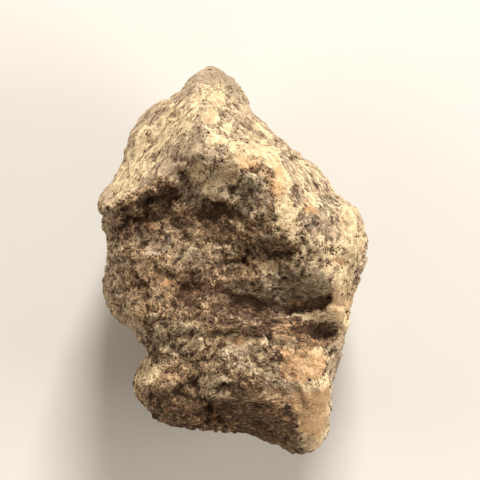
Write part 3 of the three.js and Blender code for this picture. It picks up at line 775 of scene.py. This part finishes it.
def settled(points):
    """Which share of the relief there is at a point's height: none on the floor."""
    return smooth_step(0.0, REST_HEIGHT, points[:, 2])


def relief_left(seen, above, marks):
    """Which share of the relief the pale deposit and the drawn-out grain leave."""
    deposit = finish_seen(seen, PALE_ZONES, PALE_SPOTS)
    filled = FILLING * above * smooth_step(*FILLING_RANGE, deposit)
    flattened = DRAWING * np.max([marks[name] for name in DRAWN], axis=0)
    return 1.0 - np.maximum(filled, flattened)


def stands_out(points, edges, outward, rounds, full):
    """How far the surface stands out of its own blur, from -1 in a hollow to 1 on a ridge."""
    out = np.sum((points - averaged(points, edges, rounds)) * outward, axis=1)
    return np.clip(out / full, -1.0, 1.0)


def stone_piece():
    """The rounded solid with the relief on it and the marks that its finish reads."""
    points, triangles, edges = rounded_solid()
    facing = averaged(normals_of(points, triangles), edges, FACING_ROUNDS)
    above = smooth_step(SIDE_FULL, SIDE_STARTS, facing[:, 2])
    seen = strayed(seen_from_above(points), points)
    marks = marks_on(points, seen, above)
    deep = above * hollows(seen)
    stepped = above * lips(seen) - deep
    rough = settled(points) * relief_left(seen, above, marks)

    normals = averaged(normals_of(points, triangles), edges, PUSH_ROUNDS)
    carved = points + normals * (rough * relief(points) + settled(points) * stepped)[:, None]
    carved += normals_of(carved, triangles) * (rough * grain(points))[:, None]
    carved[:, 2] = np.maximum(carved[:, 2], 0.0)

    outward = averaged(normals_of(carved, triangles), edges, RIDGE_ROUNDS)
    values = {
        "raised": stands_out(carved, edges, outward, *RAISED),
        "ridge": stands_out(carved, edges, outward, *RIDGE),
        "deep": deep,
        **marks,
    }
    return mesh_object("weathered_stone", carved, triangles, values)


def mesh_object(name, points, triangles, values):
    mesh = bpy.data.meshes.new(name)
    mesh.vertices.add(len(points))
    mesh.vertices.foreach_set("co", (points * MM).astype(np.float32).ravel())
    mesh.loops.add(len(triangles) * 3)
    mesh.loops.foreach_set("vertex_index", triangles.astype(np.int32).ravel())
    mesh.polygons.add(len(triangles))
    mesh.polygons.foreach_set("loop_start", np.arange(0, len(triangles) * 3, 3, dtype=np.int32))
    mesh.update(calc_edges=True)
    mesh.validate()
    mesh.shade_smooth()
    for key, numbers in values.items():
        attribute = mesh.attributes.new(key, "FLOAT", "POINT")
        attribute.data.foreach_set("value", numbers.astype(np.float32))
    piece = bpy.data.objects.new(name, mesh)
    bpy.context.scene.collection.objects.link(piece)
    return piece


def colour(red, green, blue):
    """A colour given as it looks on a screen, 0 to 255, in the light's own scale."""
    def linear(value):
        share = value / 255.0
        return share / 12.92 if share <= 0.04045 else ((share + 0.055) / 1.055) ** 2.4
    return (linear(red), linear(green), linear(blue), 1.0)


class Finish:
    """One material and short calls that add nodes to it. A socket or a plain value may be given."""

    def __init__(self, name):
        self.material = bpy.data.materials.new(name)
        self.material.use_nodes = True
        self.tree = self.material.node_tree
        self.surface = self.tree.nodes["Principled BSDF"]
        self.place = self.scaled(self.add("ShaderNodeTexCoord").outputs["Object"], 1.0 / MM)

    def add(self, kind, **settings):
        node = self.tree.nodes.new(kind)
        for key, value in settings.items():
            setattr(node, key, value)
        return node

    def put(self, socket, value):
        if isinstance(value, bpy.types.NodeSocket):
            self.tree.links.new(value, socket)
        else:
            socket.default_value = value

    def scaled(self, vector, factor):
        node = self.add("ShaderNodeMapping", vector_type="POINT")
        self.put(node.inputs["Vector"], vector)
        self.put(node.inputs["Scale"], factor if isinstance(factor, tuple) else (factor,) * 3)
        return node.outputs["Vector"]

    def turned(self, vector, degrees):
        node = self.add("ShaderNodeVectorRotate", rotation_type="Z_AXIS")
        self.put(node.inputs["Vector"], vector)
        self.put(node.inputs["Angle"], math.radians(degrees))
        return node.outputs["Vector"]

    def warped(self, vector, size, reach):
        """The place pushed about by up to about reach, in forms of that size."""
        shift = self.add("ShaderNodeTexNoise")
        self.put(shift.inputs["Vector"], vector)
        self.put(shift.inputs["Scale"], 1.0 / size)
        node = self.add("ShaderNodeVectorMath", operation="MULTIPLY_ADD")
        self.put(node.inputs[0], shift.outputs["Color"])
        self.put(node.inputs[1], (reach / NOISE_NODE_SPREAD,) * 3)
        self.put(node.inputs[2], vector)
        return node.outputs[0]

    def attribute(self, name):
        return self.add("ShaderNodeAttribute", attribute_name=name).outputs["Fac"]

    def noise(self, size, detail=2.0, rough=0.5, place=None):
        node = self.add("ShaderNodeTexNoise")
        self.put(node.inputs["Vector"], place or self.place)
        self.put(node.inputs["Scale"], 1.0 / size)
        self.put(node.inputs["Detail"], detail)
        self.put(node.inputs["Roughness"], rough)
        return node.outputs["Fac"]

    def cells(self, size, place):
        """Distance to the nearest of scattered centres, and a random number for each."""
        node = self.add("ShaderNodeTexVoronoi")
        self.put(node.inputs["Vector"], place)
        self.put(node.inputs["Scale"], 1.0 / size)
        split = self.add("ShaderNodeSeparateColor")
        self.put(split.inputs[0], node.outputs["Color"])
        return node.outputs["Distance"], split.outputs[0]

    def maths(self, operation, a, b):
        node = self.add("ShaderNodeMath", operation=operation)
        self.put(node.inputs[0], a)
        self.put(node.inputs[1], b)
        return node.outputs[0]

    def sum(self, *terms):
        total = terms[0]
        for term in terms[1:]:
            total = self.maths("ADD", total, term)
        return total

    def times(self, a, b):
        return self.maths("MULTIPLY", a, b)

    def centred(self, value, weight):
        """A value that lies round a half, moved to lie round 0 and weighted."""
        return self.times(self.maths("SUBTRACT", value, 0.5), weight)

    def blend(self, a, b, share):
        """The value a where share is 0, b where it is 1."""
        return self.sum(a, self.times(share, self.maths("SUBTRACT", b, a)))

    def step(self, value, low, high, start=0.0, end=1.0):
        """A soft step from start to end as value goes from low to high."""
        node = self.add("ShaderNodeMapRange", interpolation_type="SMOOTHSTEP")
        for socket, number in zip(node.inputs, (value, low, high, start, end)):
            self.put(socket, number)
        return node.outputs["Result"]

    def mix(self, a, b, share):
        """The colour a where share is 0, b where it is 1."""
        node = self.add("ShaderNodeMix", data_type="RGBA")
        self.put(node.inputs[0], share)
        self.put(node.inputs[6], a)
        self.put(node.inputs[7], b)
        return node.outputs[2]

    def shade(self, base, factor):
        """Base darkened or lightened by a factor."""
        node = self.add("ShaderNodeVectorMath", operation="SCALE")
        self.put(node.inputs[0], base)
        self.put(node.inputs["Scale"], factor)
        return node.outputs[0]


def grains_of(f, place):
    """Tones of single grains and of blotches, as numbers round 0 from dark to light, and heights."""
    crooked = f.warped(place, size=0.5, reach=0.08)
    distance, speck = f.cells(SPECK_SIZE, crooked)
    _, clot = f.cells(CLOT_SIZE, crooked)
    dust = f.noise(DUST_SIZE, rough=0.6, place=place)
    tones = f.sum(
        f.centred(speck, weight=0.46),
        f.centred(clot, weight=0.28),
        f.centred(dust, weight=1.5),
    )
    blotches = f.centred(f.noise(BLOTCH_SIZE, rough=0.6, place=place), weight=1.0)
    height = f.sum(f.times(dust, 0.9), f.times(distance, -0.5), f.times(speck, 0.12))
    return tones, blotches, height


def drawn_grains_of(f):
    """The same, turned and drawn out where the fracture has done so."""
    found = grains_of(f, f.place)
    for name, (turn, scale, _) in DRAWN.items():
        drawn = grains_of(f, f.scaled(f.turned(f.place, turn), scale))
        share = f.attribute(name)
        found = [f.blend(as_it_was, drawn_one, share) for as_it_was, drawn_one in zip(found, drawn)]
    return found


def speckled(f, name, other_tone, speckle):
    """The look of a finish: its ground, in the other tone by that share, with its grains in it."""
    look = LOOKS[name]
    ground = f.mix(colour(*look.ground), colour(*look.other), other_tone)
    dark = f.step(speckle, look.dark_end, look.dark_end - SPECKLE_RAMP)
    light = f.step(speckle, look.light_start, look.light_start + SPECKLE_RAMP)
    return f.mix(f.mix(ground, colour(*look.dark), dark), colour(*look.light), light)


def with_shade_and_dirt(f, looks):
    """The looks darkened in the hollows with painted shade and some dirt, less of it on the pale deposit,
    and with brighter high spots.
    """
    raised = f.attribute("raised")
    kept = f.step(f.attribute("pale"), low=-0.5, high=0.6, start=1.0, end=0.4)
    # Painted shade, with some dirt, where the surface sinks among grains, between ridges and into cracks
    # and pits.
    shade_and_dirt_among_grains = f.times(kept, f.step(raised, low=-0.1, high=-1.0, end=0.65))
    shade_and_dirt_between_ridges = f.step(f.attribute("ridge"), low=0.1, high=-0.9, end=0.38)
    shade_and_dirt_in_cracks = f.step(f.attribute("deep"), low=0.08, high=0.4, end=0.8)
    looks = f.mix(looks, colour(*GRAIN_SHADE_AND_DIRT), shade_and_dirt_among_grains)
    looks = f.mix(looks, colour(*RIDGE_SHADE_AND_DIRT), shade_and_dirt_between_ridges)
    looks = f.mix(looks, colour(*CRACK_SHADE_AND_DIRT), shade_and_dirt_in_cracks)
    return f.shade(looks, f.step(raised, low=0.1, high=0.8, start=1.0, end=1.12))


def chondrite_finish():
    f = Finish("weathered_chondrite")
    tones, blotches, height = drawn_grains_of(f)
    broad = f.noise(BROAD_SIZE, detail=3.0, rough=0.55)
    speckle = f.sum(tones, blotches, f.centred(broad, weight=0.5))
    ragged = f.sum(f.times(tones, 1.3), f.times(blotches, 2.8))
    by_broad = f.step(broad, low=0.4, high=0.6)
    by_blotches = f.step(blotches, low=-0.08, high=0.12)

    def cover(name, softness=0.2):
        """How much of the surface a finish covers, with borders that the grain makes ragged."""
        return f.step(f.sum(f.attribute(name), ragged), -softness, softness)

    looks = speckled(f, "own", by_broad, speckle)
    for name, other_tone, strength in (
        ("tan", by_broad, 1.0),
        ("dark", by_broad, 0.9),
        ("grey", by_broad, 0.7),
        ("pale", by_blotches, 0.93),
    ):
        looks = f.mix(looks, speckled(f, name, other_tone, speckle), f.times(cover(name), strength))
    rusty, deeper = (colour(*tone) for tone in RUST_TONES)
    rusty = f.mix(rusty, deeper, f.step(blotches, low=-0.05, high=0.12))
    looks = f.mix(looks, rusty, f.times(cover("rust", softness=0.5), 0.5))
    f.put(f.surface.inputs["Base Color"], with_shade_and_dirt(f, looks))
    f.put(f.surface.inputs["Roughness"], f.step(tones, low=-0.2, high=0.2, start=0.95, end=0.72))
    f.put(f.surface.inputs["Specular IOR Level"], 0.3)

    bump = f.add("ShaderNodeBump")
    f.put(bump.inputs["Strength"], BUMP_STRENGTH)
    f.put(bump.inputs["Distance"], BUMP_DEPTH * MM)
    f.put(bump.inputs["Height"], height)
    f.put(f.surface.inputs["Normal"], bump.outputs["Normal"])
    return f.material


def floor_piece():
    mesh = bpy.data.meshes.new("floor")
    corners = [(x * FLOOR_HALF, y * FLOOR_HALF, 0.0) for x, y in ((-1, -1), (1, -1), (1, 1), (-1, 1))]
    mesh.from_pydata(corners, [], [(0, 1, 2, 3)])
    f = Finish("pale_floor")
    light, dim = (colour(*tone) for tone in FLOOR_TONES)
    f.put(f.surface.inputs["Base Color"], f.mix(light, dim, f.noise(FLOOR_MOTTLE)))
    f.put(f.surface.inputs["Roughness"], 0.8)
    mesh.materials.append(f.material)
    piece = bpy.data.objects.new("floor", mesh)
    bpy.context.scene.collection.objects.link(piece)
    return piece


def area_light(name, place, size, watts, tint):
    """A square lamp that points at the stone."""
    lamp = bpy.data.lights.new(name, "AREA")
    lamp.size = size
    lamp.energy = watts
    lamp.color = tint
    light = bpy.data.objects.new(name, lamp)
    bpy.context.scene.collection.objects.link(light)
    light.location = place
    light.rotation_mode = "QUATERNION"
    light.rotation_quaternion = (-Vector(place)).to_track_quat("-Z", "Y")


def studio():
    area_light("key", (0.11, 0.74, 0.36), size=0.24, watts=12.0, tint=(1.0, 0.97, 0.92))
    area_light("right_fill", (0.32, -0.04, 0.12), size=0.2, watts=0.9, tint=(1.0, 0.95, 0.88))
    area_light("left_fill", (-0.3, 0.02, 0.16), size=0.2, watts=0.4, tint=(1.0, 0.92, 0.82))
    world = bpy.data.worlds.new("studio")
    bpy.context.scene.world = world
    world.use_nodes = True
    world.node_tree.nodes["Background"].inputs[0].default_value = (0.218, 0.179, 0.146, 1.0)
    bpy.context.scene.view_settings.view_transform = "Standard"


def camera():
    data = bpy.data.cameras.new("camera")
    data.sensor_width = SENSOR
    data.lens = SENSOR * (CAMERA_PLACE[2] - RIM_PLANE) / VIEW_HEIGHT
    data.clip_start = MM
    eye = bpy.data.objects.new("camera", data)
    bpy.context.scene.collection.objects.link(eye)
    eye.location = Vector(CAMERA_PLACE * MM)
    bpy.context.scene.camera = eye


camera()
studio()
floor_piece()
stone = stone_piece()
stone.data.materials.append(chondrite_finish())
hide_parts(NODE)
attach(stone, "root")
